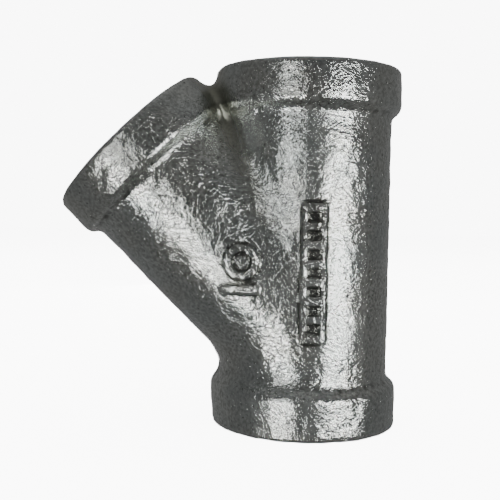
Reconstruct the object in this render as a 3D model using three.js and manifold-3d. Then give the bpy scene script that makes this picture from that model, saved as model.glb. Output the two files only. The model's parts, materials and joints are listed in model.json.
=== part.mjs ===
// Galvanised malleable-iron Y-branch for 3/4 inch pipe, female on all three ends.
// It is one iron casting: a straight run with a 45 degree branch off it, a plain round band round
// each end, an open passage inside, and a tapered pipe thread cut into each mouth.
//
// Millimetres, +Z up along the run, the branch leaning towards -X.
// The origin is under the middle of the part, on the plane of its lower end face.

import * as THREE from 'three';
import { mergeVertices } from 'three/addons/utils/BufferGeometryUtils.js';
import Module from 'manifold-3d';

const wasm = await Module();
wasm.setup();

// ---- Driving dimensions: millimetres and degrees ----

// Lay lengths, from where the two axes cross to each end face.
const INLET_LENGTH = 20.0;
const OUTLET_LENGTH = 50.4;
const BRANCH_LENGTH = 51.0;
const BRANCH_ANGLE = 45;

// Pipe thread: its crests' diameter at the end face, and how it goes on from there.
const THREAD_CREST_DIAMETER = 23.7;
const THREAD_PITCH = 25.4 / 14;
const THREAD_HEIGHT = 1.35;
const THREAD_FLANK_ANGLE = 30;
const THREAD_TAPER = 1 / 16;
const THREAD_LENGTH = 14.0;
const MOUTH_CHAMFER = 0.9;

// Casting: how far the passage clears the thread crests, and the metal round it. The branch's wall
// is a little thinner than the run's. A web fills the crotch between the two.
const PASSAGE_CLEARANCE = 1.65;
const WALL = 3.05;
const BRANCH_WALL_RELIEF = 0.15;
const BAND_STEP = 1.95;
const BAND_WIDTH = 7.4;
const RIM_ROUNDING = 1.0;
const WEB_THICKNESS = 20.0;

// Raised foundry marks: a ladder of plain bars and rails up the run, and a ring with a bar on the branch.
const MARK_HEIGHT = 0.6;
const LADDER_BARS = 8;
const LADDER_BAR = { across: 4.6, along: 1.5 };
const LADDER_RAIL = 0.9;
const LADDER_LENGTH = 25.6;
const LADDER_ABOVE_CENTRE = 11.2;
const LADDER_OFFSET = 0.3;
const RING_DIAMETER = 6.4;
const RING_STROKE = 1.3;
const RING_BAR_GAP = 1.2;
const RING_FROM_CENTRE = 18.4;

// Facets: sides round the casting, a thread and the ring mark, and steps on a quarter round.
const CASTING_SIDES = 40;
const THREAD_SIDES = 20;
const RING_SIDES = 16;
const QUARTER_STEPS = 3;

// ---- Sizes that follow from them ----

const RUN_LENGTH = INLET_LENGTH + OUTLET_LENGTH;
const BRANCH_TILT = THREE.MathUtils.degToRad(BRANCH_ANGLE);
const CREST_RADIUS = THREAD_CREST_DIAMETER / 2;
const ROOT_RADIUS = CREST_RADIUS + THREAD_HEIGHT;
const PASSAGE_RADIUS = CREST_RADIUS + PASSAGE_CLEARANCE;
const BODY_RADIUS = PASSAGE_RADIUS + WALL;
const BRANCH_BODY_RADIUS = BODY_RADIUS - BRANCH_WALL_RELIEF;
const BRANCH_PASSAGE_RADIUS = PASSAGE_RADIUS - BRANCH_WALL_RELIEF;
const BAND_RADIUS = BODY_RADIUS + BAND_STEP;

// The branch band's rounded rim reaches this far to the side of the run's axis. The run's axis stands
// off the origin by half of what that exceeds the band's radius, so the origin is under the middle.
const BRANCH_REACH = (BRANCH_LENGTH - RIM_ROUNDING) * Math.sin(BRANCH_TILT)
  + (BAND_RADIUS - RIM_ROUNDING) * Math.cos(BRANCH_TILT) + RIM_ROUNDING;
const RUN_OFFSET = (BRANCH_REACH - BAND_RADIUS) / 2;

// ---- Places: each has its own +Z ----

const IN_RUN = new THREE.Matrix4();
const IN_BRANCH = new THREE.Matrix4()
  .makeTranslation(0, 0, INLET_LENGTH)
  .multiply(new THREE.Matrix4().makeRotationY(-BRANCH_TILT));

// The three mouths, with z = 0 on the end face and +Z into the metal.
const MOUTHS = [
  IN_RUN.clone(),
  mouthAt(IN_RUN, RUN_LENGTH),
  mouthAt(IN_BRANCH, BRANCH_LENGTH),
];

function mouthAt(place, height) {
  return place.clone()
    .multiply(new THREE.Matrix4().makeTranslation(0, 0, height))
    .multiply(new THREE.Matrix4().makeRotationX(Math.PI));
}

// ---- Helpers ----

// A closed geometry, put in its place, as a solid that can be cut and joined.
function solid(geometry, place = IN_RUN) {
  const shape = geometry.clone().applyMatrix4(place);
  shape.deleteAttribute('normal');
  shape.deleteAttribute('uv');
  const merged = mergeVertices(shape, 1e-4);
  return new wasm.Manifold(new wasm.Mesh({
    numProp: 3,
    vertProperties: new Float32Array(merged.attributes.position.array),
    triVerts: new Uint32Array(merged.index.array),
  }));
}

// A solid of revolution about +Z from [radius, height] points that start and end on the axis.
function turned(profile) {
  const points = profile.map(([radius, height]) => new THREE.Vector2(radius, height));
  return new THREE.LatheGeometry(points, CASTING_SIDES).rotateX(Math.PI / 2);
}

// Points on a quarter of a circle, from one angle to another in degrees.
function quarter(centre, radius, from, to) {
  return Array.from({ length: QUARTER_STEPS + 1 }, (_, step) => {
    const angle = THREE.MathUtils.degToRad(from + (to - from) * step / QUARTER_STEPS);
    return [centre[0] + radius * Math.cos(angle), centre[1] + radius * Math.sin(angle)];
  });
}

// ---- Outside of the casting ----

// One end's profile from its face up: face, rounded rim, band, and an S-shaped shoulder made of
// two equal quarter rounds that brings the band down to the body.
function bandProfile(bodyRadius) {
  const half = (BAND_RADIUS - bodyRadius) / 2;
  const rim = BAND_RADIUS - RIM_ROUNDING;
  return [
    [0, 0],
    ...quarter([rim, RIM_ROUNDING], RIM_ROUNDING, -90, 0),
    ...quarter([BAND_RADIUS - half, BAND_WIDTH], half, 0, 90),
    ...quarter([bodyRadius + half, BAND_WIDTH + 2 * half], half, -90, -180).slice(1),
  ];
}

// The same profile at the far end of a length, running on to that end's face.
function farBandProfile(bodyRadius, length) {
  return bandProfile(bodyRadius).reverse().map(([radius, height]) => [radius, length - height]);
}

function runBody() {
  return turned([...bandProfile(BODY_RADIUS), ...farBandProfile(BODY_RADIUS, RUN_LENGTH)]);
}

function branchBody() {
  return turned([
    [0, 0],
    [BRANCH_BODY_RADIUS, 0],
    ...farBandProfile(BRANCH_BODY_RADIUS, BRANCH_LENGTH),
  ]);
}

// The web: a kite between the two axes, from where they cross to where the two bands' sides meet.
function crotchWeb() {
  const highest = Math.min(OUTLET_LENGTH, BRANCH_LENGTH) - RIM_ROUNDING;
  const height = Math.min(BAND_RADIUS / Math.tan(BRANCH_TILT / 2), highest);
  const outline = new THREE.Shape([
    new THREE.Vector2(0, 0),
    new THREE.Vector2(0, height),
    new THREE.Vector2(-height * Math.tan(BRANCH_TILT / 2), height),
    new THREE.Vector2(-height * Math.sin(BRANCH_TILT), height * Math.cos(BRANCH_TILT)),
  ]);
  return new THREE.ExtrudeGeometry(outline, { depth: WEB_THICKNESS, bevelEnabled: false })
    .rotateX(Math.PI / 2)
    .translate(0, WEB_THICKNESS / 2, INLET_LENGTH);
}

// ---- Inside of the casting ----

// The passage between two threads; a cone leads from the thread crests out to its full width.
function passageEnd(passageRadius) {
  const runOut = passageRadius - CREST_RADIUS + THREAD_TAPER * THREAD_LENGTH / 2;
  const crest = passageRadius - runOut;
  return [[0, THREAD_LENGTH - runOut], [crest, THREAD_LENGTH - runOut], [passageRadius, THREAD_LENGTH]];
}

function runPassage() {
  const upper = passageEnd(PASSAGE_RADIUS).reverse();
  return turned([
    ...passageEnd(PASSAGE_RADIUS),
    ...upper.map(([radius, height]) => [radius, RUN_LENGTH - height]),
  ]);
}

function branchPassage() {
  const upper = passageEnd(BRANCH_PASSAGE_RADIUS).reverse();
  return turned([
    [0, 0],
    [BRANCH_PASSAGE_RADIUS, 0],
    ...upper.map(([radius, height]) => [radius, BRANCH_LENGTH - height]),
  ]);
}

// The chamfer in a mouth, which is wider than the thread roots at the end face.
function mouthCone() {
  const mouth = ROOT_RADIUS + MOUTH_CHAMFER;
  return turned([[0, -1], [mouth + 1, -1], [mouth, 0], [0, mouth]]);
}

// A screw-shaped plug that cuts one mouth's right-hand thread: a strip of thread profile wound up
// the axis so that each turn lies on the last, and closed by a fan of triangles at either end.
function threadPlug() {
  const flank = THREAD_HEIGHT * Math.tan(THREE.MathUtils.degToRad(THREAD_FLANK_ANGLE));
  const flat = THREAD_PITCH / 2 - flank;
  const corners = [
    [CREST_RADIUS, 0], [CREST_RADIUS, flat],
    [ROOT_RADIUS, flat + flank], [ROOT_RADIUS, 2 * flat + flank],
  ];
  const leadIn = 2 * THREAD_PITCH;
  const steps = THREAD_SIDES * Math.ceil((THREAD_LENGTH + leadIn) / THREAD_PITCH);
  const positions = [];
  const triangles = [];
  const lines = corners.map(([radius, rise], corner) => {
    const stepsHere = corner === 0 ? steps + THREAD_SIDES : steps;
    return Array.from({ length: stepsHere + 1 }, (_, step) => {
      const turn = step / THREAD_SIDES;
      const height = turn * THREAD_PITCH + rise - leadIn;
      const here = radius - height * THREAD_TAPER / 2;
      const angle = 2 * Math.PI * turn;
      return positions.push([here * Math.cos(angle), here * Math.sin(angle), height]) - 1;
    });
  });
  // The first corner's line, a turn further on, closes the profile.
  lines.push(lines[0].slice(THREAD_SIDES));
  for (let corner = 0; corner < corners.length; corner++) {
    const [low, high] = [lines[corner], lines[corner + 1]];
    for (let step = 0; step < steps; step++) {
      triangles.push([low[step], low[step + 1], high[step + 1]]);
      triangles.push([low[step], high[step + 1], high[step]]);
    }
  }
  const last = lines[corners.length];
  const start = [...lines.map((line) => line[0]), ...lines[0].slice(1, THREAD_SIDES).reverse()];
  const end = [...lines.map((line) => line[steps]).reverse(), ...last.slice(steps - THREAD_SIDES + 1, steps)];
  fan(positions, triangles, start, -2 * leadIn);
  fan(positions, triangles, end, THREAD_LENGTH + 2 * leadIn);
  const geometry = new THREE.BufferGeometry();
  geometry.setAttribute('position', new THREE.Float32BufferAttribute(positions.flat(), 3));
  return geometry.setIndex(triangles.flat());
}

// Closes a loop of points with triangles that meet on the axis at the given height.
function fan(positions, triangles, loop, height) {
  const tip = positions.push([0, 0, height]) - 1;
  loop.forEach((point, i) => triangles.push([point, loop[(i + 1) % loop.length], tip]));
}

// ---- Raised foundry marks ----

// Upright prisms that stand out of the front of a body; what shows is trimmed to its curve.
function block(across, along, x, z) {
  const depth = BODY_RADIUS + 2 * MARK_HEIGHT;
  return new THREE.BoxGeometry(across, depth, along).translate(x, -depth / 2, z);
}

function ring(x, z) {
  const inner = RING_DIAMETER / 2 - RING_STROKE;
  const front = BODY_RADIUS + 2 * MARK_HEIGHT;
  const outer = RING_DIAMETER / 2;
  const profile = [[inner, 0], [outer, 0], [outer, front], [inner, front], [inner, 0]];
  const points = profile.map(([radius, height]) => new THREE.Vector2(radius, height));
  return new THREE.LatheGeometry(points, RING_SIDES).rotateX(Math.PI).translate(x, 0, z);
}

function trimmed(marks, bodyRadius, length, place) {
  const skin = new THREE.CylinderGeometry(
    bodyRadius + MARK_HEIGHT, bodyRadius + MARK_HEIGHT, length, CASTING_SIDES,
  ).rotateX(Math.PI / 2).translate(0, 0, length / 2);
  return marks.reduce((all, mark) => all.add(mark)).intersect(solid(skin, place));
}

function ladder() {
  const pitch = (LADDER_LENGTH - LADDER_BAR.along) / (LADDER_BARS - 1);
  const middle = INLET_LENGTH + LADDER_ABOVE_CENTRE;
  const bars = Array.from({ length: LADDER_BARS }, (_, bar) => {
    const z = middle + pitch * (bar - (LADDER_BARS - 1) / 2);
    return solid(block(LADDER_BAR.across, LADDER_BAR.along, LADDER_OFFSET, z));
  });
  const railReach = (LADDER_BAR.across - LADDER_RAIL) / 2;
  const rails = [-railReach, railReach].map(
    (reach) => solid(block(LADDER_RAIL, LADDER_LENGTH, LADDER_OFFSET + reach, middle)),
  );
  return trimmed([...bars, ...rails], BODY_RADIUS, RUN_LENGTH, IN_RUN);
}

function ringAndBar() {
  const along = RING_FROM_CENTRE;
  const x = -along * Math.sin(BRANCH_TILT);
  const z = INLET_LENGTH + along * Math.cos(BRANCH_TILT);
  const below = z - RING_DIAMETER / 2 - RING_BAR_GAP - RING_STROKE / 2;
  const marks = [solid(ring(x, z)), solid(block(RING_DIAMETER, RING_STROKE, x, below))];
  return trimmed(marks, BRANCH_BODY_RADIUS, BRANCH_LENGTH, IN_BRANCH);
}

// ---- The casting ----

function castingSolid() {
  const outside = solid(runBody())
    .add(solid(branchBody(), IN_BRANCH))
    .add(solid(crotchWeb()))
    .add(ladder())
    .add(ringAndBar());
  const passages = solid(runPassage()).add(solid(branchPassage(), IN_BRANCH));
  const cone = mouthCone();
  const plug = threadPlug();
  return MOUTHS.reduce(
    (metal, mouth) => metal.subtract(solid(plug, mouth)).subtract(solid(cone, mouth)),
    outside.subtract(passages),
  );
}

function toGeometry(manifold) {
  const mesh = manifold.getMesh();
  const geometry = new THREE.BufferGeometry();
  geometry.setAttribute('position', new THREE.BufferAttribute(mesh.vertProperties, 3));
  geometry.setIndex(new THREE.BufferAttribute(mesh.triVerts, 1));
  geometry.computeVertexNormals();
  return geometry;
}

const galvanisedIron = new THREE.MeshStandardMaterial({
  name: 'galvanised_iron',
  color: 0x8b8e8b,
  metalness: 0.9,
  roughness: 0.42,
  flatShading: true,
});

const casting = new THREE.Mesh(toGeometry(castingSolid()), galvanisedIron);
casting.name = 'y_branch_casting';
casting.position.x = RUN_OFFSET;

const fitting = new THREE.Group();
fitting.add(casting);

export default fitting;
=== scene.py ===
# %% [markdown]
# # A galvanised iron Y-branch
#
# This lesson builds one pipe fitting: a straight run with a branch off it at 45 degrees, cast in
# malleable iron, dipped in molten zinc, then faced, chamfered and threaded at its three ends.
# It is made in the order of the foundry. First comes the casting with its rough skin, then the
# machining that cuts the ends and the threads, then the finishes, and last the studio.

import json

import bmesh
import bpy
import numpy as np
from mathutils import Matrix, Vector


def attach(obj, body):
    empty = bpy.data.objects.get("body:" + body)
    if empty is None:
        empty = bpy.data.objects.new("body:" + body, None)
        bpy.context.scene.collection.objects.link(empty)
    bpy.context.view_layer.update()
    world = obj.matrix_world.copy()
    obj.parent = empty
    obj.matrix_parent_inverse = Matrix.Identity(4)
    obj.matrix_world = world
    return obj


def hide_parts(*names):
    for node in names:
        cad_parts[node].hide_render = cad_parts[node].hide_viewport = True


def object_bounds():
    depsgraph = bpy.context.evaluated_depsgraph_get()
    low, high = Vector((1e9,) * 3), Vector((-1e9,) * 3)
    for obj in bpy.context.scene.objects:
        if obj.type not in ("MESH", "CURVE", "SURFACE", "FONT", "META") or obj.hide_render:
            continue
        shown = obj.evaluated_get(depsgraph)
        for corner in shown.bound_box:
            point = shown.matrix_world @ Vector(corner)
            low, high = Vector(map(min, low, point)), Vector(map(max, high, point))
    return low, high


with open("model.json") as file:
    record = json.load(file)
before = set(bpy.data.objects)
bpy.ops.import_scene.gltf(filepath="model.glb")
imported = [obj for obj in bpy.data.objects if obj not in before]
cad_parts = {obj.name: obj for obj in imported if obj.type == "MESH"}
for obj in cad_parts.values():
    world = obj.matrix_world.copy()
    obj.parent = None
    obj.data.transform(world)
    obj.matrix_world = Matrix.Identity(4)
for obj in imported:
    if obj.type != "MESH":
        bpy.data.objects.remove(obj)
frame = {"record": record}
cad_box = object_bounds()

# %% [markdown]
# ## Where the three ends are
#
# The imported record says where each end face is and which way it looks. A mount's point lies on the
# flat ring, straight in front of the mouth's centre, so setting its y to zero gives the centre.
# The branch's axis goes back from its face until it meets the run's axis, and there the axes cross.

# %% Read the axes from the record
MM = 0.001

mounts = {mount["name"]: mount for mount in frame["record"]["mounts"]}


def mouth(name):
    """Centre of a mouth and the direction out of it, from the record's mount of that name."""
    centre = np.array(mounts[name]["pos_m"], float) * (1, 0, 1)
    outward = np.array(mounts[name]["axis"], float)
    return centre, outward / np.linalg.norm(outward)


mouths = {name: mouth(name + "_end_face") for name in ("lower", "upper", "branch")}
lower_face = mouths["lower"][0]
upper_face, run_axis = mouths["upper"]
branch_face, branch_axis = mouths["branch"]
run_length = np.linalg.norm(upper_face - lower_face)
branch_length = (lower_face[0] - branch_face[0]) / -branch_axis[0]
crossing = branch_face - branch_length * branch_axis
print(f"run {run_length / MM:.1f} mm, branch {branch_length / MM:.1f} mm,"
      f" axes cross {crossing[2] / MM:.1f} mm up")

# %% [markdown]
# ## Sizes of the casting
#
# A band is the widest thing on the fitting, so half the frame's width is its radius, less a little
# for the roughness that comes on top. The other sizes are a foundry's: a wall of about 3 mm, and
# generous rounds, since molten iron fills a sharp inner corner badly and cracks there as it cools.
# The three bands come from one pattern but aren't equally wide, because each end is ground to length.

# %% Name the sizes
ROUGHNESS_ALLOWANCE = 0.2 * MM
BAND_RADIUS = (cad_box[1][1] - cad_box[0][1]) / 2 - ROUGHNESS_ALLOWANCE
LOWER_BAND = 8.45 * MM
UPPER_BAND = 8.0 * MM
BRANCH_BAND = 8.0 * MM
BAND_ROUNDING = 1.0 * MM
BODY_RADIUS = 16.55 * MM
BRANCH_RADIUS = 16.4 * MM
PASSAGE_RADIUS = 13.5 * MM
FACING_ALLOWANCE = 0.12 * MM
# Reaches of the fillets: at a band's shoulder, in the crotch, where crotch and shoulders meet, and
# in the notch between the two upper bands.
SHOULDER_REACH = 2.4 * MM
CROTCH_REACH = 9.0 * MM
CORNER_REACH = 9.0 * MM
NOTCH_REACH = 3.5 * MM
# A point is in the crotch while its distances to run and branch differ by less than this.
CROTCH_WIDTH = 12.0 * MM
print(f"band radius {BAND_RADIUS / MM:.2f} mm, body radius {BODY_RADIUS / MM:.2f} mm")

# %% [markdown]
# ## The shape as a distance
#
# A casting is one body whose parts flow into each other, and joining separate tubes would leave
# hard creases. So the shape is a formula instead: for any point in space it gives the distance
# to the surface, negative inside the metal. Two shapes are joined by taking the smaller of their
# distances, and a little less where the two are nearly equal, which makes a fillet.

# %% Building blocks of the distance
TINY = 1e-9  # keeps a division by a length from failing at zero


def along_and_out(points, origin, axis):
    """For each point: how far along an axis, how far out from it, and the unit vector outwards."""
    offset = points - origin
    along = offset @ axis
    outwards = offset - along[..., None] * axis
    out = np.linalg.norm(outwards, axis=-1)
    return along, out, outwards / np.maximum(out, TINY)[..., None]


def drum(along, out, low, high, radius, rounding):
    """Distance to a round bar from low to high: the larger of 'out less radius' and 'along less
    half the length', measured to a core that is smaller by the rounding all round."""
    side = out - (radius - rounding)
    end = np.abs(along - (low + high) / 2) - ((high - low) / 2 - rounding)
    outside = np.hypot(np.maximum(side, 0), np.maximum(end, 0))
    return outside + np.minimum(np.maximum(side, end), 0) - rounding


def joined(a, b, reach):
    """The smaller of two distances, less reach/4 where they are equal; the fillet fades as the
    square of (1 - difference/reach)."""
    near = np.clip(1 - np.abs(a - b) / np.maximum(reach, TINY), 0, 1)
    return np.minimum(a, b) - near * near * reach / 4


# %% [markdown]
# ## Run and branch
#
# Run and branch are as thick as each other, so they touch over a wide area in front of where the
# axes cross. A fillet there would swell into a hump. So the fillet's reach is multiplied by half the
# length of the difference of the two outward directions: nothing where the surfaces face the
# same way, and full in the crotch, where they face each other.

# %% The trunk's distance
def trunk(points):
    """Distance to run and branch joined in the crotch, and how deep in the crotch each point is,
    0 to 1: the parting, times a smooth step of how near both surfaces are."""
    run_at, run_out, run_way = along_and_out(points, lower_face, run_axis)
    arm_at, arm_out, arm_way = along_and_out(points, crossing, branch_axis)
    run = drum(run_at, run_out, LOWER_BAND / 2, run_length - UPPER_BAND / 2,
               BODY_RADIUS, BAND_ROUNDING)
    arm = drum(arm_at, arm_out, 0, branch_length - BRANCH_BAND / 2, BRANCH_RADIUS, BAND_ROUNDING)
    parting = np.linalg.norm(run_way - arm_way, axis=-1) / 2
    near = np.clip(1 - np.abs(run - arm) / CROTCH_WIDTH, 0, 1)
    return joined(run, arm, CROTCH_REACH * parting), parting * near * near * (3 - 2 * near)


# %% [markdown]
# ## Raised marks
#
# A foundry presses its marks into the mould's pattern, so they stand out of the casting. Here they
# are plain: a ladder up the front of the run, and a ring with a bar under it on the branch. Each is
# drawn as a flat pattern seen from the front, and then cut off at an even height over the body.

# %% Patterns of the marks
MARK_HEIGHT = 0.65 * MM
MARK_REACH = 0.6 * MM
LADDER_BARS = 8
LADDER_WIDTH, LADDER_LENGTH = 4.6 * MM, 25.6 * MM
BAR_HEIGHT, RAIL_WIDTH = 1.5 * MM, 0.9 * MM
LADDER_MIDDLE = np.array([0.3, 11.2]) * MM
RING_RADIUS, RING_STROKE = 3.2 * MM, 1.3 * MM
RING_FROM_CENTRE = 18.4 * MM
RING_BAR_GAP = 1.2 * MM


def rectangle(across, up, wide, high):
    """Distance to a rectangle round the origin: the larger of the two overhangs."""
    return np.maximum(np.abs(across) - wide / 2, np.abs(up) - high / 2)


def ladder(across, up):
    """Bars at an even pitch between two rails: the distance to the nearest bar or rail."""
    across, up = across - LADDER_MIDDLE[0], up - LADDER_MIDDLE[1]
    pitch = (LADDER_LENGTH - BAR_HEIGHT) / (LADDER_BARS - 1)
    last = (LADDER_BARS - 1) / 2
    nearest = np.clip(np.round(up / pitch - 0.5) + 0.5, -last, last)
    bars = rectangle(across, up - nearest * pitch, LADDER_WIDTH, BAR_HEIGHT)
    rail_middle = (LADDER_WIDTH - RAIL_WIDTH) / 2
    return np.minimum(bars, rectangle(np.abs(across) - rail_middle, up, RAIL_WIDTH, LADDER_LENGTH))


def ring_and_bar(across, up):
    """A ring with a bar under it: the distance to the nearer of the two."""
    middle = RING_FROM_CENTRE * branch_axis
    across, up = across - middle[0], up - middle[2]
    ring = np.abs(np.hypot(across, up) - (RING_RADIUS - RING_STROKE / 2)) - RING_STROKE / 2
    below = RING_RADIUS + RING_BAR_GAP + RING_STROKE / 2
    return np.minimum(ring, rectangle(across, up + below, 2 * RING_RADIUS, RING_STROKE))


def raised(points, pattern, axis, radius):
    """Distance to a mark: inside its pattern, in front, and within its height over the body."""
    across, front, up = np.moveaxis(points - crossing, -1, 0)
    _, out, _ = along_and_out(points, crossing, axis)
    return np.maximum(np.maximum(pattern(across, up), out - radius - MARK_HEIGHT), front)


# %% [markdown]
# ## Sand and zinc
#
# The mould is sand, so the iron comes out pebbled, and the zinc flows over the grains and rounds
# them. Smooth random values do this: each corner of a grid of cells has a random slope, and the
# slopes are mixed across the cell. Several are added, from a broad unevenness down to the largest
# grains. The finest grain is finer than the mesh, and it comes later, in the material.

# %% Smooth random values
NOISE_GAIN = 1.6  # the mixed values seldom pass 0.6 by themselves
CORNER_PRIMES = (73856093, 19349663, 83492791)
SEED_PRIME = 2654435761
MIXING_PRIMES = (1274126177, 668265263)
LOW_BITS = 0x7FFFFFFF


def lattice_slopes(corner, seed):
    """A random unit slope for every integer corner, from a fixed hash of its three numbers."""
    mixed = corner.astype(np.int64) * CORNER_PRIMES
    hashed = (mixed[..., 0] ^ mixed[..., 1] ^ mixed[..., 2]) + seed * SEED_PRIME
    parts = []
    for prime in MIXING_PRIMES:
        hashed = (hashed ^ (hashed >> 13)) * prime & LOW_BITS
        parts.append(hashed / LOW_BITS)
    height, turn = 2 * parts[0] - 1, 2 * np.pi * parts[1]
    ring = np.sqrt(1 - height ** 2)
    return np.stack([ring * np.cos(turn), ring * np.sin(turn), height], -1)


def uneven(points, size, seed):
    """Smooth random values of about -1 to 1 that change over a distance of size."""
    scaled = points / size
    corner = np.floor(scaled)
    part = scaled - corner
    fade = part ** 3 * (part * (part * 6 - 15) + 10)
    total = np.zeros(points.shape[:-1])
    for offset in np.ndindex(2, 2, 2):
        share = np.prod(np.where(offset, fade, 1 - fade), -1)
        total += share * (lattice_slopes(corner + offset, seed) * (part - offset)).sum(-1)
    return total * NOISE_GAIN


# %% [markdown]
# ## The rough casting
#
# Each band is a wider drum round an end. The two upper bands are joined to each other first, so the
# notch between them gets its own small round. The mould is in two halves, and where they meet, a
# little iron creeps in between them: that is the thin parting line all round the middle plane.

# %% The casting's distance
PARTING_HEIGHT = 0.16 * MM
PARTING_WIDTH = 0.45 * MM


def casting(points):
    """Distance to the rough casting, before any machining."""
    run_at, run_out, _ = along_and_out(points, lower_face, run_axis)
    arm_at, arm_out, _ = along_and_out(points, crossing, branch_axis)
    body, deep = trunk(points)
    body = joined(body, raised(points, ladder, run_axis, BODY_RADIUS), MARK_REACH)
    body = joined(body, raised(points, ring_and_bar, branch_axis, BRANCH_RADIUS), MARK_REACH)

    spare = FACING_ALLOWANCE
    lower = drum(run_at, run_out, -spare, LOWER_BAND, BAND_RADIUS, BAND_ROUNDING)
    upper = drum(run_at, run_out, run_length - UPPER_BAND, run_length + spare,
                 BAND_RADIUS, BAND_ROUNDING)
    end = drum(arm_at, arm_out, branch_length - BRANCH_BAND, branch_length + spare,
               BAND_RADIUS, BAND_ROUNDING)
    bands = np.minimum(lower, joined(upper, end, NOTCH_REACH))
    whole = joined(body, bands, SHOULDER_REACH + CORNER_REACH * deep * (1 - deep))
    return whole - PARTING_HEIGHT * np.exp(-(points[..., 1] / PARTING_WIDTH) ** 2)


# %% [markdown]
# ## From a distance to a mesh
#
# To turn the formula into a mesh, its value is taken at the corners of a grid of small cells. A
# cell with corners both inside and outside the metal holds one vertex, and every grid edge that
# passes through the surface gets a four-sided face between the four cells round it. The vertices
# then slide down the slope of the distance until they lie exactly on the surface.

# %% Surface net
LEAST_STEEPNESS = 0.05


def surface_net(inside, corner, step):
    """Vertices (n, 3) and quads (m, 4) between the inside and outside corners of a cubic grid."""
    count = np.zeros([n - 1 for n in inside.shape], np.uint8)
    nx, ny, nz = count.shape
    for dx, dy, dz in np.ndindex(2, 2, 2):
        count += inside[dx:dx + nx, dy:dy + ny, dz:dz + nz]
    cells = np.argwhere((count > 0) & (count < 8))
    number = np.full(count.shape, -1)
    number[tuple(cells.T)] = np.arange(len(cells))
    quads = []
    for axis in range(3):
        turn = [axis, (axis + 1) % 3, (axis + 2) % 3]
        here, cell = inside.transpose(turn), number.transpose(turn)
        low, high = here[:-1, 1:-1, 1:-1], here[1:, 1:-1, 1:-1]
        i, j, k = np.nonzero(low != high)
        quad = np.stack([cell[i, j, k], cell[i, j + 1, k],
                         cell[i, j + 1, k + 1], cell[i, j, k + 1]], 1)
        entering = ~low[i, j, k]
        quad[entering] = quad[entering, ::-1]
        quads.append(quad)
    return corner + (cells + 0.5) * step, np.concatenate(quads)


def slope(distance, points, step):
    """The distance and its gradient, by differences half a step either way along each axis."""
    probe = np.eye(3) * step / 2
    gradient = [(distance(points + d) - distance(points - d)) / step for d in probe]
    return distance(points), np.stack(gradient, -1)


def settle(distance, points, step):
    """Slides points down the slope onto the surface: each move is distance x slope / slope
    squared, at most half a step. The least steepness keeps it steady in the flat of a fillet."""
    value, gradient = slope(distance, points, step / 4)
    steepness = np.maximum((gradient ** 2).sum(-1), LEAST_STEEPNESS)
    move = gradient * (value / steepness)[:, None]
    length = np.linalg.norm(move, axis=-1, keepdims=True)
    return points - move * np.minimum(1, step / 2 / np.maximum(length, TINY))


def neighbour_mean(values, edges):
    """For each vertex, the mean of the values at the other ends of its edges."""
    both_ways = np.concatenate([edges, edges[:, ::-1]])
    here, there = both_ways.T
    count = np.maximum(np.bincount(here, minlength=len(values)), 1)
    columns = values.reshape(len(values), -1).T
    sums = [np.bincount(here, column[there], len(values)) for column in columns]
    return (np.stack(sums, -1) / count[:, None]).reshape(values.shape)


def meshed(distance, low, high, step):
    """A closed net of quads on the zero of a distance formula, between two corners of a box. Every
    vertex settles and moves halfway to its neighbours' mean, four times over, and then it settles
    three times more."""
    low, high = low - 3.5 * step, high + 3.5 * step
    ticks = [np.arange(low[a], high[a], step) for a in range(3)]
    grid = np.stack(np.meshgrid(*ticks, indexing="ij"), -1)
    points, quads = surface_net(distance(grid) < 0, low, step)
    sides = np.stack([quads, np.roll(quads, -1, axis=1)], -1).reshape(-1, 2)
    edges, shared = np.unique(np.sort(sides, axis=1), axis=0, return_counts=True)
    for _ in range(4):
        points = settle(distance, points, step)
        points += 0.5 * (neighbour_mean(points, edges) - points)
    for _ in range(3):
        points = settle(distance, points, step)
    print(f"{len(points)} vertices, {len(quads)} quads, faces on an edge: {np.unique(shared)}")
    return points, quads


# %% [markdown]
# The cells are 0.45 mm wide, small enough for the marks and the grains, and large enough to keep
# the whole piece under 200,000 triangles. Deep in the crotch the zinc runs together while it is
# liquid and fills the grain, so the roughness fades there. How far the zinc has pooled is kept as
# a value of its own, because the material needs it too.

# %% Mesh the casting and roughen it
CELL = 0.45 * MM
POOL_STARTS, POOL_FULL = 0.5, 0.9
POOL_CALM = 0.8  # the share of the roughness that a full pool hides
SKIN_SEED, CORE_SEED = 7, 31
# Size of the grains, and how far they stand out, from coarse to fine.
GRAINS = [(9.0 * MM, 0.10 * MM), (3.6 * MM, 0.08 * MM), (1.9 * MM, 0.07 * MM), (1.2 * MM, 0.05 * MM)]


def pooled(points):
    """How much zinc has pooled, 0 to 1, rising with the depth in the crotch."""
    return np.clip((trunk(points)[1] - POOL_STARTS) / (POOL_FULL - POOL_STARTS), 0, 1)


def roughened(points, distance, grains, seed, calm):
    """Points moved along the outward slope by the sum of their grains, less where calm is 1."""
    _, gradient = slope(distance, points, 0.1 * MM)
    outward = gradient / np.linalg.norm(gradient, axis=-1, keepdims=True)
    height = sum(depth * uneven(points, size, seed + i) for i, (size, depth) in enumerate(grains))
    return points + outward * (height * (1 - POOL_CALM * calm))[:, None]


box_low, box_high = (np.array(corner) for corner in cad_box)
skin_points, skin_quads = meshed(casting, box_low, box_high, CELL)
skin_points = roughened(skin_points, casting, GRAINS, SKIN_SEED, pooled(skin_points))
# No grain may stand out beyond the frame's box. The ends are faced to length later.
within = np.clip(skin_points[:, :2], box_low[:2], box_high[:2])
print(f"held in: {(within != skin_points[:, :2]).any(1).sum()} vertices,"
      f" by up to {np.abs(within - skin_points[:, :2]).max() / MM:.2f} mm")
skin_points[:, :2] = within

# %% [markdown]
# Putting a mesh into the scene is always the same. The object itself stays at the origin, unturned
# and unscaled, and its place is in its vertices.

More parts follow.
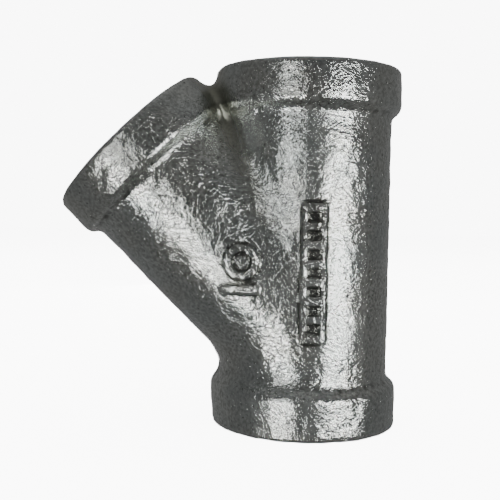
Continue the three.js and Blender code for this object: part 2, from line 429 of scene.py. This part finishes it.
# %% Make an object
def make_object(name, points, face_groups):
    """A new mesh object from points and groups of faces, each group an array of equal polygons."""
    mesh = bpy.data.meshes.new(name)
    mesh.from_pydata(points.tolist(), [], [face for group in face_groups for face in group.tolist()])
    made = bpy.data.objects.new(name, mesh)
    bpy.context.scene.collection.objects.link(made)
    return made


def volume_of(piece):
    """Signed volume: a sixth of the sum of corner . (corner x corner) over all triangles. It is
    positive when the faces look outwards."""
    mesh = piece.data
    mesh.calc_loop_triangles()
    corners = np.empty(len(mesh.loop_triangles) * 3, np.int64)
    mesh.loop_triangles.foreach_get("vertices", corners)
    points = np.empty(len(mesh.vertices) * 3)
    mesh.vertices.foreach_get("co", points)
    a, b, c = points.reshape(-1, 3)[corners.reshape(-1, 3)].transpose(1, 0, 2)
    return float((a * np.cross(b, c)).sum() / 6)


fitting = make_object("y_branch_fitting", skin_points, [skin_quads])
print(f"rough casting: {volume_of(fitting) / MM ** 3:.0f} mm3")

# %% [markdown]
# ## Machining
#
# After galvanising, each end is faced flat, chamfered and tapped. The tools are made as closed
# meshes and taken away from the casting. All of them are turned shapes in a mouth's own frame:
# depth into the metal, radius from the axis, and angle round it.

# %% A mouth's own frame
def place_in_mouth(end, depth, radius, angle):
    """Points in space from depth, radius and angle in a mouth. The angle turns as a right-hand
    screw does on its way in, so a thread that deepens with it is a right-hand thread."""
    centre, outward = end
    inward = -outward
    side = np.array([0.0, 1.0, 0.0])
    across = np.cross(inward, side)
    depth, radius, angle = np.broadcast_arrays(depth, radius, angle)
    spoke = np.cos(angle)[..., None] * side + np.sin(angle)[..., None] * across
    return centre + depth[..., None] * inward + radius[..., None] * spoke


def fan(loop, tip):
    """Triangles from a closed loop of vertices to one tip."""
    return np.stack([loop, np.roll(loop, -1), np.full(len(loop), tip)], -1)


# %% [markdown]
# The thread is the taper pipe thread for 3/4 inch: 14 turns to the inch, 60 degrees between its
# flanks, and a taper of 1 in 16, so that it wedges tight. The cutter is a screw. Its profile has
# five corners, and each corner's line deepens by one pitch a turn. The first line, taken one turn
# further on, closes the strip of faces, and a fan closes each end.

# %% The thread cutter
PITCH = 25.4 * MM / 14
CREST_RADIUS = 11.85 * MM
THREAD_HEIGHT = 1.35 * MM
THREAD_LENGTH = 14.0 * MM
TAPER = 1 / 16
TURN = 72  # steps in one turn
FLANK = THREAD_HEIGHT * np.tan(np.radians(30))
FLAT = PITCH / 2 - FLANK
# The cutter's corners over one pitch: how deep, and how far out. The tip is rounded by three points.
CORNER_DEPTH = np.array([0, FLAT, FLAT + 0.8 * FLANK, FLAT + FLANK + FLAT / 2,
                         2 * FLAT + 1.2 * FLANK])
CORNER_OUT = CREST_RADIUS + THREAD_HEIGHT * np.array([0, 0, 0.8, 1, 0.8])


def thread_tool(name, end):
    """A screw-shaped solid: corner c at step k lies k/TURN pitches deeper than at the start."""
    lead_in = 2 * PITCH
    steps = int(np.ceil((THREAD_LENGTH + lead_in) / PITCH)) * TURN
    step = np.arange(steps + TURN + 1)
    depth = step / TURN * PITCH + CORNER_DEPTH[:, None] - lead_in
    radius = CORNER_OUT[:, None] - depth * TAPER / 2
    lines = place_in_mouth(end, depth, radius, step * 2 * np.pi / TURN)
    number = np.arange(lines.shape[0] * lines.shape[1]).reshape(lines.shape[:2])
    low = number[:, :steps + 1]
    high = np.concatenate([low[1:], number[:1, TURN:]])
    quads = np.stack([low[:, :-1], low[:, 1:], high[:, 1:], high[:, :-1]], -1).reshape(-1, 4)
    start = np.concatenate([number[:, 0], number[0, TURN:0:-1]])
    finish = np.concatenate([number[0, steps:steps + TURN + 1], number[:0:-1, steps]])
    tips = place_in_mouth(end, np.array([-2 * lead_in, THREAD_LENGTH + 2 * lead_in]), 0, 0)
    points = np.concatenate([lines.reshape(-1, 3), tips])
    caps = np.concatenate([fan(start, number.size), fan(finish, number.size + 1)])
    used = np.unique(np.concatenate([quads.ravel(), caps.ravel()]))
    renumber = np.zeros(len(points), int)
    renumber[used] = np.arange(len(used))
    return make_object(name, points[used], [renumber[quads], renumber[caps]])


# %% [markdown]
# The facing tool is a wide disc with a cone in its middle: its flat side trims the end, and the
# cone chamfers the mouth. It is a turned piece, so a few rings describe it.

# %% The facing tool
FACING_RADIUS = 19.8 * MM
CHAMFER = 0.9 * MM
MOUTH_RADIUS = CREST_RADIUS + THREAD_HEIGHT + CHAMFER
CONE_END = CREST_RADIUS - THREAD_HEIGHT
CONE_DEPTH = MOUTH_RADIUS - CONE_END
# Depth and radius of its rings, between a first and a last point on the axis.
FACING_RINGS = np.array([(-2 * MM, FACING_RADIUS), (0, FACING_RADIUS), (0, MOUTH_RADIUS),
                         (CONE_DEPTH, CONE_END)])
FACING_SIDES = 96


def facing_tool(name, end):
    """The rings turned about the mouth's axis, closed by a fan at each end."""
    angle = np.arange(FACING_SIDES) * 2 * np.pi / FACING_SIDES
    rings = place_in_mouth(end, FACING_RINGS[:, :1], FACING_RINGS[:, 1:], angle)
    tips = place_in_mouth(end, FACING_RINGS[[0, -1], 0], 0, 0)
    number = np.arange(rings.shape[0] * FACING_SIDES).reshape(-1, FACING_SIDES)
    beside = np.roll(number, -1, axis=1)
    quads = np.stack([number[:-1], beside[:-1], beside[1:], number[1:]], -1).reshape(-1, 4)
    caps = np.concatenate([fan(number[0, ::-1], number.size), fan(number[-1], number.size + 1)])
    return make_object(name, np.concatenate([rings.reshape(-1, 3), tips]), [quads, caps])


# %% [markdown]
# The core is the passage inside, the space that the foundry keeps open with baked sand. It is
# rough too, and rounded where its two arms meet, so it is made like the casting. It starts a
# little before the threads end, so that they run out into it. The branch's arm is a hair thinner
# than the run's, because two bars of one radius just touch at the front and the back of where they
# cross, and such a touch makes a ragged mesh.

# %% The core
CORE_START = THREAD_LENGTH - 1.6 * MM
CORE_CELL = 1.0 * MM
CORE_ROUNDING = 2.5 * MM
CORE_REACH = 2.0 * MM
ARM_PASSAGE_RADIUS = PASSAGE_RADIUS - 0.15 * MM
CORE_GRAINS = [(4.0 * MM, 0.10 * MM), (2.0 * MM, 0.07 * MM)]


def core(points):
    """Distance to the core: a drum along the run and one along the branch, with a fillet."""
    run_at, run_out, _ = along_and_out(points, lower_face, run_axis)
    arm_at, arm_out, _ = along_and_out(points, crossing, branch_axis)
    run = drum(run_at, run_out, CORE_START, run_length - CORE_START, PASSAGE_RADIUS, CORE_ROUNDING)
    arm = drum(arm_at, arm_out, 0, branch_length - CORE_START, ARM_PASSAGE_RADIUS, CORE_ROUNDING)
    return joined(run, arm, CORE_REACH)


core_points, core_quads = meshed(core, box_low, box_high, CORE_CELL)
core_points = roughened(core_points, core, CORE_GRAINS, CORE_SEED, 0)
tools = [make_object("core", core_points, [core_quads])]
for end_name, end in mouths.items():
    tools.append(thread_tool(end_name + "_thread_tool", end))
    tools.append(facing_tool(end_name + "_facing_tool", end))
print({tool.name: f"{volume_of(tool) / MM ** 3:.0f} mm3" for tool in tools})

# %% [markdown]
# Each tool is taken away with a Boolean modifier, and the result is written back into the mesh,
# so that the finished piece carries no modifiers and the tools can be thrown away.

# %% Cut the casting
for tool in tools:
    cut = fitting.modifiers.new("cut", "BOOLEAN")
    cut.operation, cut.solver, cut.object = "DIFFERENCE", "MANIFOLD", tool
depsgraph = bpy.context.evaluated_depsgraph_get()
machined = bpy.data.meshes.new_from_object(fitting.evaluated_get(depsgraph))
fitting.modifiers.clear()
fitting.data = machined
for tool in tools:
    bpy.data.objects.remove(tool)
print(f"cut: {volume_of(fitting) / MM ** 3:.0f} mm3, {len(machined.polygons)} faces")

# %% [markdown]
# Where a tool grazes a vertex it leaves faces thinner than a hair, and those are dissolved. A face
# with many corners is split into triangles here, because it can fold over itself when an exporter
# splits it later. Two triangles on the same three corners are such a fold, with no metal between
# them, and they are deleted.

# %% Clean the cut mesh
SLIVER = 0.004 * MM

swarf = bmesh.new()
swarf.from_mesh(machined)
bmesh.ops.dissolve_degenerate(swarf, dist=SLIVER, edges=swarf.edges)
bmesh.ops.triangulate(swarf, faces=[face for face in swarf.faces if len(face.verts) > 4])
folds = {}
for face in swarf.faces:
    folds.setdefault(frozenset(face.verts), []).append(face)
bmesh.ops.delete(swarf, geom=[face for pair in folds.values() if len(pair) > 1 for face in pair],
                 context="FACES")
open_edges = sum(len(edge.link_faces) != 2 for edge in swarf.edges)
swarf.to_mesh(machined)
swarf.free()
print(f"machined: {volume_of(fitting) / MM ** 3:.0f} mm3, {len(machined.loop_triangles)} triangles,"
      f" {open_edges} open edges")

# %% [markdown]
# ## What each point of the surface has been through
#
# The finishes need to know more than a place. Three things are measured on the finished mesh:
# which faces were cut by a tool, how far zinc has pooled, and how hollow each spot is. The mesh is
# read back as whole arrays. A face is cut metal if its middle lies on an end face or in a mouth.

# %% Read the mesh back into arrays
END_DEPTH = 0.01 * MM  # an end face lies at depth zero, give or take this
MOUTH_SLACK = 0.02 * MM
UNCUT_THREAD = 0.6 * MM  # the last of the thread's length belongs to the core's rough face


def read(collection, name, width, kind=float):
    """One property of every vertex, edge or face as an array with a row for each."""
    values = np.empty(len(collection) * width, kind)
    collection.foreach_get(name, values)
    return values.reshape(-1, width) if width > 1 else values


def is_machined(points):
    """True for points on an end face, or within a mouth's threaded length and radius."""
    found = np.zeros(len(points), bool)
    for centre, outward in mouths.values():
        depth, out, _ = along_and_out(points, centre, -outward)
        in_mouth = (depth < THREAD_LENGTH - UNCUT_THREAD) & (out < MOUTH_RADIUS + MOUTH_SLACK)
        found |= in_mouth | ((depth < END_DEPTH) & (out < BAND_RADIUS + ROUGHNESS_ALLOWANCE))
    return found


# %% [markdown]
# A vertex is hollow when the mean of its neighbours stands out in front of it. The mean is taken
# over four rings of neighbours, which is about the width of a shoulder's round. The material
# paints shade into such hollows, along the shoulders and round the marks. Hollows and pools are
# kept with the mesh as attributes, where the material can read them.

# %% Measure hollows and pools
HOLLOW_RINGS = 4
DEEP_HOLLOW = 0.15 * MM

vertices = read(machined.vertices, "co", 3)
edges = read(machined.edges, "vertices", 2, np.int32)
normals = read(machined.vertex_normals, "vector", 3)
cut_faces = is_machined(read(machined.polygons, "center", 3))

softened = vertices
for _ in range(HOLLOW_RINGS):
    softened = neighbour_mean(softened, edges)
hollow = ((softened - vertices) * normals).sum(-1)
for name, values in (("hollow", np.clip(hollow / DEEP_HOLLOW, -1, 1)), ("pooled", pooled(vertices))):
    machined.attributes.new(name, "FLOAT", "POINT").data.foreach_set("value", values.astype(np.float32))
print(f"{cut_faces.mean():.0%} of the faces are cut metal; hollows up to {hollow.max() / MM:.2f} mm")

# %% [markdown]
# ## Materials
#
# A colour is written as the usual sRGB hex value and turned to linear light by one function, and
# one function adds a node with its settings and its links. A pattern's size is a real size: a noise
# texture of scale 1 / s changes over a distance of s.

# %% Helpers for materials
def linear(code):
    """An sRGB hex colour as linear red, green, blue and alpha."""
    parts = np.array([int(code[i:i + 2], 16) for i in (1, 3, 5)]) / 255
    return (*np.where(parts <= 0.04045, parts / 12.92, ((parts + 0.055) / 1.055) ** 2.4), 1)


def node(tree, kind, inputs=None, **settings):
    """Adds a node. Settings are its own properties. Inputs map a socket's name or number either to
    the output socket that feeds it or to a plain value."""
    made = tree.nodes.new("ShaderNode" + kind)
    for name, value in settings.items():
        setattr(made, name, value)
    for name, value in (inputs or {}).items():
        if isinstance(value, bpy.types.NodeSocket):
            tree.links.new(value, made.inputs[name])
        else:
            made.inputs[name].default_value = value
    return made


def new_material(name):
    """An empty material and its node tree."""
    material = bpy.data.materials.new(name)
    material.use_nodes = True
    material.node_tree.nodes.clear()
    return material, material.node_tree


# %% [markdown]
# ## Hot-dip zinc over cast iron
#
# Zinc is a metal, so the shader is fully metallic and its colour is that of the mirror. The grain
# of the sand, the ripples of the draining zinc and the pinholes of gas bubbles are all heights in
# metres, added up and turned into a bump. The ripples are real size, and flattened, because the
# zinc sags as it drains. Real pinholes and the finest grain are about half as wide, which is too
# fine to show, so they are drawn coarser. The skin is brighter and smoother in some patches than
# in others. It is duller and slightly olive where the zinc pooled. Hollows and pinholes are
# darkened with painted shade.

# %% Hot-dip zinc
RIPPLE_SIZE, RIPPLE_HEIGHT = 0.75 * MM, 0.13 * MM
FINE_GRAIN_SIZE, FINE_GRAIN_HEIGHT = 0.42 * MM, 0.03 * MM
PINHOLE_SIZE, PINHOLE_DEPTH = 0.5 * MM, 0.05 * MM
PATCH_SIZE, TONE_SIZE, SPECK_SIZE = 7 * MM, 11 * MM, 0.6 * MM
BRIGHT_ZINC, SPECK_ZINC = "#c9cbc7", "#a5a7a2"
GREY_ZINC, BLUE_ZINC, POOLED_ZINC = "#a3a49e", "#a4adae", "#7c7d6e"
# Colours of painted shade, for hollows and for pinholes.
PAINTED_HOLLOW_SHADE, PINHOLE_SHADE = "#4b4c46", "#4c4d49"


def hot_dip_zinc():
    """Zinc skin: mirror colour, dulled by patches and pools and darkened by painted shade in hollows
    and pinholes, over one bump that sums ripple, grain and pinholes. Each duller colour is mixed in by its
    own share."""
    material, tree = new_material("hot_dip_zinc")
    place = node(tree, "TexCoord").outputs["Object"]
    pool = node(tree, "Attribute", attribute_name="pooled").outputs["Fac"]
    hollow = node(tree, "Attribute", attribute_name="hollow").outputs["Fac"]
    drained = node(tree, "Mapping", {"Vector": place, "Scale": (1, 1, 1.7)}).outputs[0]
    ripple = node(tree, "TexNoise", {"Vector": drained, "Scale": 1 / RIPPLE_SIZE, "Detail": 2.0,
                                     "Distortion": 0.7}).outputs[0]
    grain = node(tree, "TexNoise", {"Vector": place, "Scale": 1 / FINE_GRAIN_SIZE, "Detail": 1.0,
                                    "Roughness": 0.6}).outputs[0]
    bubbles = node(tree, "TexNoise", {"Vector": place, "Scale": 1 / PINHOLE_SIZE, "Detail": 1.0}).outputs[0]
    # Pinholes dent the bump, and in the colour they get painted shade.
    pinhole = node(tree, "MapRange", {"Value": bubbles, "From Min": 0.67, "From Max": 0.78},
                   interpolation_type="SMOOTHSTEP").outputs[0]
    relief = 0.0
    for pattern, height in ((ripple, RIPPLE_HEIGHT), (grain, FINE_GRAIN_HEIGHT), (pinhole, -PINHOLE_DEPTH)):
        relief = node(tree, "Math", {0: pattern, 1: height, 2: relief}, operation="MULTIPLY_ADD").outputs[0]
    firm = node(tree, "MapRange", {"Value": pool, "From Max": 0.8, "To Min": 1.0, "To Max": 0.3}).outputs[0]
    bump = node(tree, "Bump", {"Height": relief, "Strength": firm, "Distance": 1.0}).outputs[0]

    patches = node(tree, "TexNoise", {"Vector": place, "Scale": 1 / PATCH_SIZE, "Detail": 4.0}).outputs[0]
    patch = node(tree, "MapRange", {"Value": patches, "From Min": 0.35, "From Max": 0.65}).outputs[0]
    tones = node(tree, "TexNoise", {"Vector": place, "Scale": 1 / TONE_SIZE, "Detail": 2.0}).outputs[0]
    tone = node(tree, "MapRange", {"Value": tones, "From Min": 0.4, "From Max": 0.62}).outputs[0]
    # Painted shade in hollows, held back where the zinc pooled.
    shaded = node(tree, "Math", {0: hollow, 1: pool}, operation="SUBTRACT").outputs[0]
    painted_hollow_shade = node(tree, "MapRange", {"Value": shaded, "From Min": 0.3, "From Max": 0.8}).outputs[0]
    specks = node(tree, "TexNoise", {"Vector": place, "Scale": 1 / SPECK_SIZE, "Detail": 2.0}).outputs[0]
    speck = node(tree, "MapRange", {"Value": specks, "From Min": 0.38, "From Max": 0.64}).outputs[0]
    colour = node(tree, "Mix", {"Factor": speck, 6: linear(BRIGHT_ZINC), 7: linear(SPECK_ZINC)},
                  data_type="RGBA").outputs[2]
    # The last two layers paint shade: dark in hollows and in pinholes.
    layers = ((patch, 0.35, GREY_ZINC), (tone, 0.35, BLUE_ZINC), (pool, 1.0, POOLED_ZINC),
              (painted_hollow_shade, 0.85, PAINTED_HOLLOW_SHADE), (pinhole, 1.0, PINHOLE_SHADE))
    for where, strength, shade in layers:
        share = node(tree, "Math", {0: where, 1: strength}, operation="MULTIPLY").outputs[0]
        colour = node(tree, "Mix", {"Factor": share, 6: colour, 7: linear(shade)},
                      data_type="RGBA").outputs[2]
    sheen = node(tree, "MapRange", {"Value": patch, "To Min": 0.16, "To Max": 0.25}).outputs[0]
    dull = node(tree, "MapRange", {"Value": pool, "To Min": sheen, "To Max": 0.33}).outputs[0]
    skin = node(tree, "BsdfPrincipled", {"Base Color": colour, "Metallic": 1.0, "Roughness": dull,
                                         "Normal": bump})
    node(tree, "OutputMaterial", {"Surface": skin.outputs[0]})
    return material


# %% [markdown]
# ## Cut iron
#
# The faces, chamfers and threads are bare iron, with fine rings left by the tool as it fed inwards,
# and the first brown bloom of rust. The rings follow each mouth's own axis, so each mouth has its
# own copy of the material, with a Mapping node that turns the pattern into the mouth's frame. Real
# feed marks are about 0.15 mm apart; here they are 0.4 mm, as fine as still shows.

# %% Cut iron
FEED_SIZE, FEED_HEIGHT = 0.4 * MM, 0.03 * MM
BLOOM_SIZE = 3 * MM
DARK_IRON, BRIGHT_IRON, RUST_BLOOM = "#b2b0aa", "#d2d0ca", "#8a7564"


def cut_iron(name, end):
    """Bare machined iron with rings about one mouth's axis: noise along radius plus depth."""
    material, tree = new_material("cut_malleable_iron_" + name)
    centre, outward = end
    place = node(tree, "TexCoord").outputs["Object"]
    turn = Vector(-outward).to_track_quat("Z", "Y").to_euler()
    own = node(tree, "Mapping", {"Vector": place, "Location": centre, "Rotation": turn},
               vector_type="TEXTURE").outputs[0]
    flat = node(tree, "VectorMath", {0: own, 1: (1, 1, 0)}, operation="MULTIPLY").outputs[0]
    radius = node(tree, "VectorMath", {0: flat}, operation="LENGTH").outputs["Value"]
    depth = node(tree, "SeparateXYZ", {0: own}).outputs[2]
    fed = node(tree, "Math", {0: radius, 1: depth}, operation="ADD").outputs[0]
    rings = node(tree, "TexNoise", {"W": fed, "Scale": 1 / FEED_SIZE, "Detail": 2.0},
                 noise_dimensions="1D").outputs[0]
    height = node(tree, "Math", {0: rings, 1: FEED_HEIGHT}, operation="MULTIPLY").outputs[0]
    bump = node(tree, "Bump", {"Height": height, "Strength": 1.0, "Distance": 1.0}).outputs[0]
    blooms = node(tree, "TexNoise", {"Vector": place, "Scale": 1 / BLOOM_SIZE, "Detail": 5.0}).outputs[0]
    bloom = node(tree, "MapRange", {"Value": blooms, "From Min": 0.52, "From Max": 0.76,
                                    "To Max": 0.5}).outputs[0]
    shade = node(tree, "Mix", {"Factor": rings, 6: linear(DARK_IRON), 7: linear(BRIGHT_IRON)},
                 data_type="RGBA").outputs[2]
    colour = node(tree, "Mix", {"Factor": bloom, 6: shade, 7: linear(RUST_BLOOM)},
                  data_type="RGBA").outputs[2]
    dull = node(tree, "MapRange", {"Value": bloom, "To Min": 0.3, "To Max": 0.6}).outputs[0]
    skin = node(tree, "BsdfPrincipled", {"Base Color": colour, "Metallic": 1.0, "Roughness": dull,
                                         "Normal": bump})
    node(tree, "OutputMaterial", {"Surface": skin.outputs[0]})
    return material


# %% [markdown]
# A cut face takes the iron of the mouth it is nearest to. A tool leaves a crisp corner against the
# skin and against its own chamfer, so edges between different finishes are sharp, and so are those
# that turn by more than 32 degrees. Everything else is shaded smooth. An edge lies between two
# finishes when the highest and the lowest finish number of the faces on it differ.

# %% Give each face its finish
SHARP_TURN = np.radians(32)

face_centres = read(machined.polygons, "center", 3)
nearest = np.argmin([np.linalg.norm(face_centres - centre, axis=-1) for centre, _ in mouths.values()], 0)
finish = np.where(cut_faces, 1 + nearest, 0).astype(np.int32)
machined.materials.clear()
machined.materials.append(hot_dip_zinc())
for end_name, end in mouths.items():
    machined.materials.append(cut_iron(end_name, end))
machined.polygons.foreach_set("material_index", finish)
machined.polygons.foreach_set("use_smooth", np.ones(len(finish), bool))
machined.set_sharp_from_angle(angle=SHARP_TURN)

loop_edges = read(machined.loops, "edge_index", 1, np.int32)
loop_finish = np.repeat(finish, read(machined.polygons, "loop_total", 1, np.int32))
highest = np.zeros(len(edges), np.int32)
lowest = np.full(len(edges), finish.max())
np.maximum.at(highest, loop_edges, loop_finish)
np.minimum.at(lowest, loop_edges, loop_finish)
sharp = read(machined.attributes["sharp_edge"].data, "value", 1, bool) | (highest != lowest)
machined.attributes["sharp_edge"].data.foreach_set("value", sharp)
print(f"{sharp.sum()} sharp edges of {len(edges)}")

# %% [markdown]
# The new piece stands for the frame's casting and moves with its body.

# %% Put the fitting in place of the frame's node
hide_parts("y_branch_casting")
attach(fitting, "root")
print(f"{fitting.name}: {len(machined.materials)} finishes")

# %% [markdown]
# ## The studio
#
# Polished or not, metal shows what stands round it, so lighting it means placing shapes for it to
# mirror. The fitting stands on a light table of opal acrylic, which glows white. The metal doesn't
# mirror it, so the skin stays dark between its highlights, and the light of lamps that hang lower
# than the table passes through it.

# %% Light table
TABLE_SIZE = 3.0
TABLE_GLOW = 8.6

bpy.ops.mesh.primitive_plane_add(size=TABLE_SIZE)
floor = bpy.context.object
floor.name = "light_table"
table_top, tree = new_material("opal_acrylic")
acrylic = node(tree, "BsdfPrincipled", {"Base Color": linear("#f4f4f2"), "Roughness": 0.9,
                                        "Emission Color": (1, 1, 1, 1), "Emission Strength": TABLE_GLOW})
node(tree, "OutputMaterial", {"Surface": acrylic.outputs[0]})
floor.data.materials.append(table_top)
floor.visible_glossy = False
floor.visible_shadow = False

# %% [markdown]
# A lamp is placed by the direction in which the metal sees it. An upright cylinder mirrors a lamp
# as an upright stripe, and a lamp turned aside by some angle shows where the surface is turned
# half as far. Each lamp is sized by how large it looks, so that its stripe gets the right width.

# %% A soft panel
LAMP_DISTANCE = 0.30
POWER_OF_GLOW = 4.0  # watts for each square metre of a panel and each unit of its glow

middle = (box_low + box_high) / 2


def panel(name, turn, lift, size, glow, distance=LAMP_DISTANCE):
    """A rectangular area light on a sphere round the fitting, facing it. All in degrees: turn goes
    from straight in front towards +X, lift is above the horizon, and size is how wide and high it
    looks. Glow is how bright its surface looks."""
    turn, lift = np.radians([turn, lift])
    wide, high = 2 * distance * np.tan(np.radians(size) / 2)
    data = bpy.data.lights.new(name, "AREA")
    data.shape, data.size, data.size_y = "RECTANGLE", wide, high
    data.energy = POWER_OF_GLOW * glow * wide * high
    lamp = bpy.data.objects.new(name, data)
    way = Vector((np.cos(lift) * np.sin(turn), -np.cos(lift) * np.cos(turn), np.sin(lift)))
    lamp.location = Vector(middle) + distance * way
    lamp.rotation_euler = way.to_track_quat("Z", "Y").to_euler()
    bpy.context.scene.collection.objects.link(lamp)
    return lamp


# %% [markdown]
# One even panel would fill its stripe with flat white. Each front light is a bank of small lamps
# instead, with dark gaps between them, so every ripple of the zinc catches either a lamp or a gap
# and the stripe sparkles. Two banks in front give the run its two lengthwise stripes, and a low
# one on the left gives the branch its own. A narrow panel lights the back. The broad panel overhead
# only brightens the table, and the metal doesn't mirror it.

# %% Banks of lamps
LAMP_SHARE = 0.45  # how much of its place in the bank a lamp fills, across and up


def lamp_bank(name, turn, lift, size, glow, count=(3, 2)):
    """Lamps in columns and rows that fill a panel's size, with dark gaps between them. Glow is the
    mean over the panel, so each lamp is brighter by the area that the gaps take."""
    pitch = np.array(size) / count
    for column, row in np.ndindex(*count):
        at = (np.array([column, row]) - (np.array(count) - 1) / 2) * pitch
        panel(f"{name}_{column}_{row}", turn + at[0], lift + at[1], pitch * LAMP_SHARE,
              glow / LAMP_SHARE ** 2)


lamp_bank("left_lamps", -25, 9, (20, 20), 2.3)
lamp_bank("left_low_lamps", -27, -24, (19, 17), 7.6)
lamp_bank("right_lamps", 42, -5, (30, 28), 6.0, (4, 3))
panel("back_panel", 180, 0, (20, 36), 5.0)
overhead = panel("overhead", 0, 90, (130, 130), 1.6)
overhead.visible_glossy = False

# %% [markdown]
# The room is pale where the camera sees it. What the metal mirrors of it is a dim grey, a little
# brighter behind the fitting than in front of it, and brighter overhead. Both are worked out from
# the direction alone: its second part says how far behind, and its third how far above.

# %% The room
PALE_GLOW = 9.0
FRONT_GLOW, BACK_GLOW, OVERHEAD_GLOW = 0.12, 0.22, 0.16

world = bpy.data.worlds.new("studio")
bpy.context.scene.world = world
world.use_nodes = True
tree = world.node_tree
tree.nodes.clear()
way = node(tree, "SeparateXYZ", {0: node(tree, "TexCoord").outputs["Generated"]})
behind = node(tree, "MapRange", {"Value": way.outputs[1], "From Min": -1.0, "To Min": FRONT_GLOW,
                                 "To Max": BACK_GLOW}).outputs[0]
above = node(tree, "MapRange", {"Value": way.outputs[2], "From Min": 0.6,
                                "To Max": OVERHEAD_GLOW}).outputs[0]
dim_glow = node(tree, "Math", {0: behind, 1: above}, operation="ADD").outputs[0]
seen = node(tree, "LightPath").outputs["Is Camera Ray"]
dim = node(tree, "Background", {"Color": (1, 1, 1, 1), "Strength": dim_glow})
pale = node(tree, "Background", {"Color": (1, 1, 1, 1), "Strength": PALE_GLOW})
either = node(tree, "MixShader", {0: seen, 1: dim.outputs[0], 2: pale.outputs[0]})
node(tree, "OutputWorld", {"Surface": either.outputs[0]})

# %% [markdown]
# The camera stands close, at a hand's length, and almost level with the fitting. So close, the
# near side of each band looks larger than its edges, and the rims show as curves. It looks at a
# point beside the middle, which sets the fitting a little to one side, and it is rolled slightly.

# %% Camera
CAMERA_DISTANCE = 170.4 * MM
CAMERA_TURN, CAMERA_LIFT, CAMERA_ROLL = -0.43, 2.7, 1.04  # degrees
AIM_OFFSET = Vector((3.8, 0.0, -0.7)) * MM
SENSOR_WIDTH, FOCAL_LENGTH = 36.0, 60.6  # the camera's own unit, millimetres

lens = bpy.data.cameras.new("camera")
lens.sensor_width, lens.lens = SENSOR_WIDTH, FOCAL_LENGTH
camera = bpy.data.objects.new("camera", lens)
turn, lift = np.radians([CAMERA_TURN, CAMERA_LIFT])
back = Vector((np.cos(lift) * np.sin(turn), -np.cos(lift) * np.cos(turn), np.sin(lift)))
camera.location = Vector(middle) + AIM_OFFSET + CAMERA_DISTANCE * back
rolled = Matrix.Rotation(np.radians(CAMERA_ROLL), 4, "Z").to_quaternion()
camera.rotation_mode = "QUATERNION"
camera.rotation_quaternion = back.to_track_quat("Z", "Y") @ rolled
bpy.context.scene.collection.objects.link(camera)
bpy.context.scene.camera = camera
